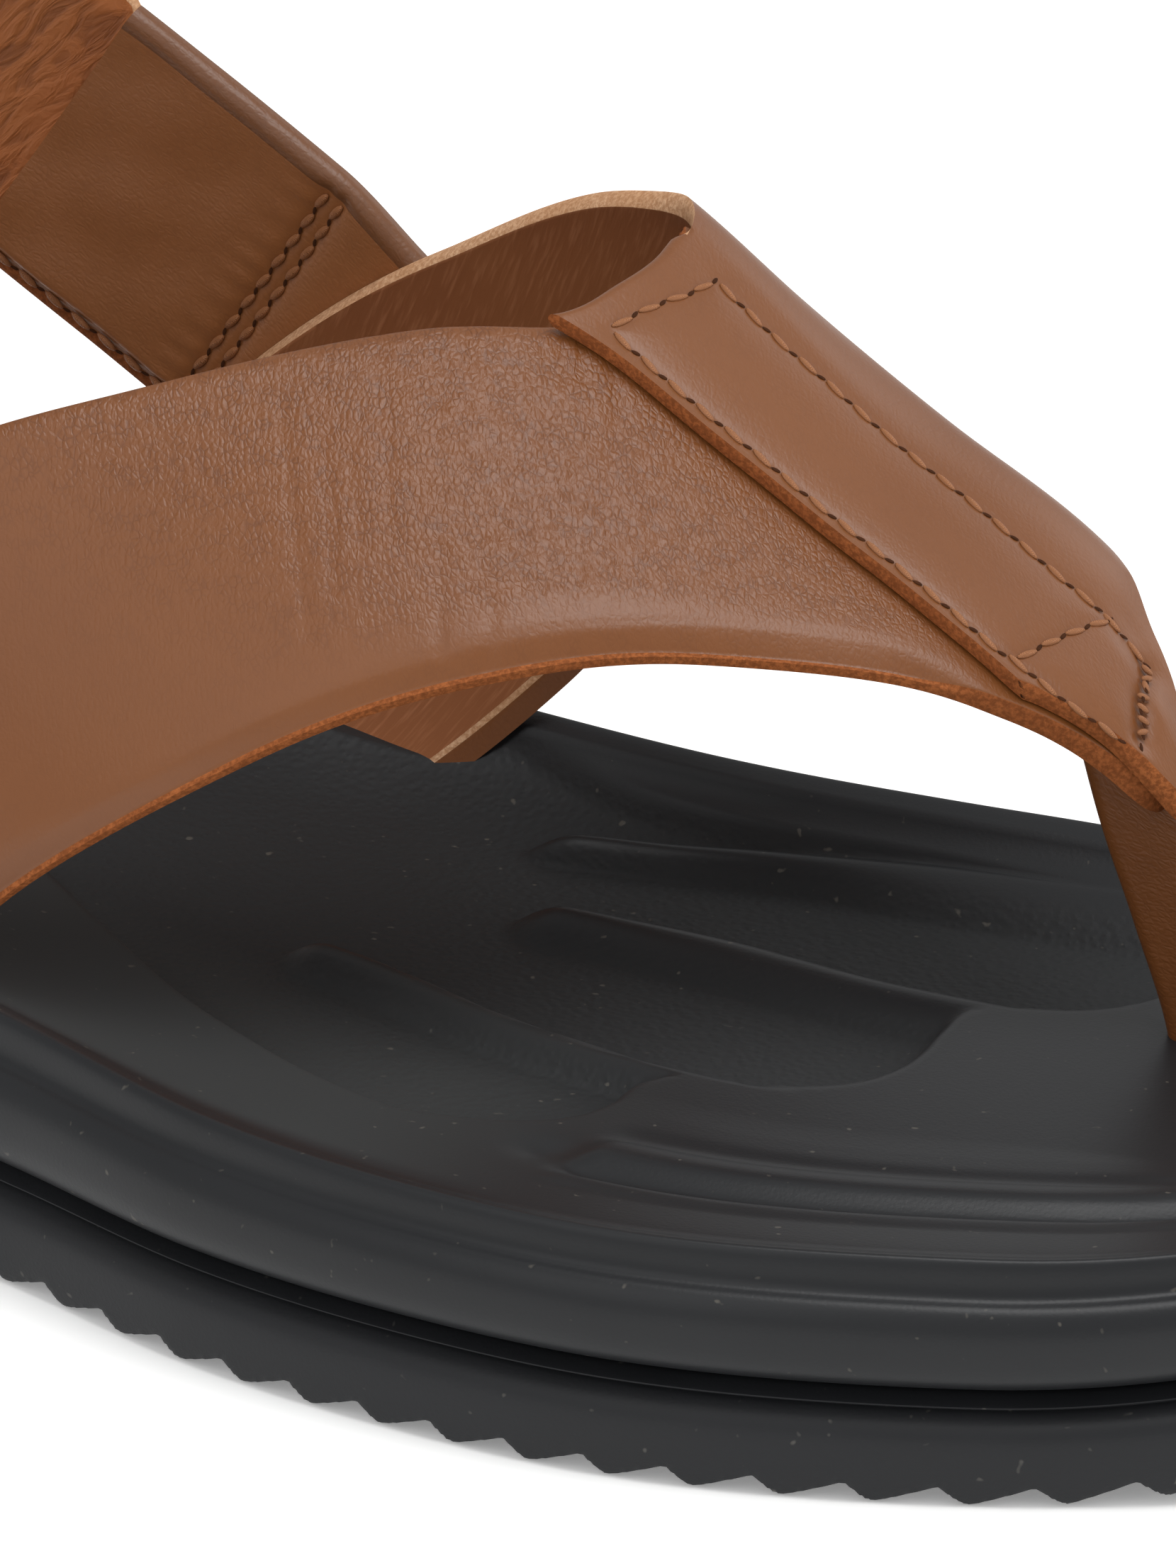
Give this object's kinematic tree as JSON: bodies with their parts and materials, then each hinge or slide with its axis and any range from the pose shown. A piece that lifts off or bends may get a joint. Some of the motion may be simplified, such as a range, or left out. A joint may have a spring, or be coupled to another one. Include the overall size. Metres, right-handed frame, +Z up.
{
  "type": "leather sandal",
  "caption": "Right-foot leather sandal with a crossed strap upper, toe post and sling back on a moulded black footbed and lugged sole.",
  "frame": {"origin": "centre of the plan box, on the ground plane under the sole", "axes": "+X to the toe, +Y to the medial side of the right foot, +Z up"},
  "size_m": [0.284, 0.099, 0.1002],
  "materials": {
    "outsole_rubber": "matt black moulded rubber",
    "footbed_foam": "matt black moulded foam",
    "upper_leather": "brown full-grain leather with raw edges",
    "sleeve_leather": "smooth brown leather",
    "strap_leather": "brown leather"
  },
  "bodies": {
    "root": {"outsole": "outsole_rubber", "footbed": "footbed_foam", "upper": "upper_leather", "strap_sleeve": "sleeve_leather", "back_strap": "strap_leather"}
  },
  "joints": []
}
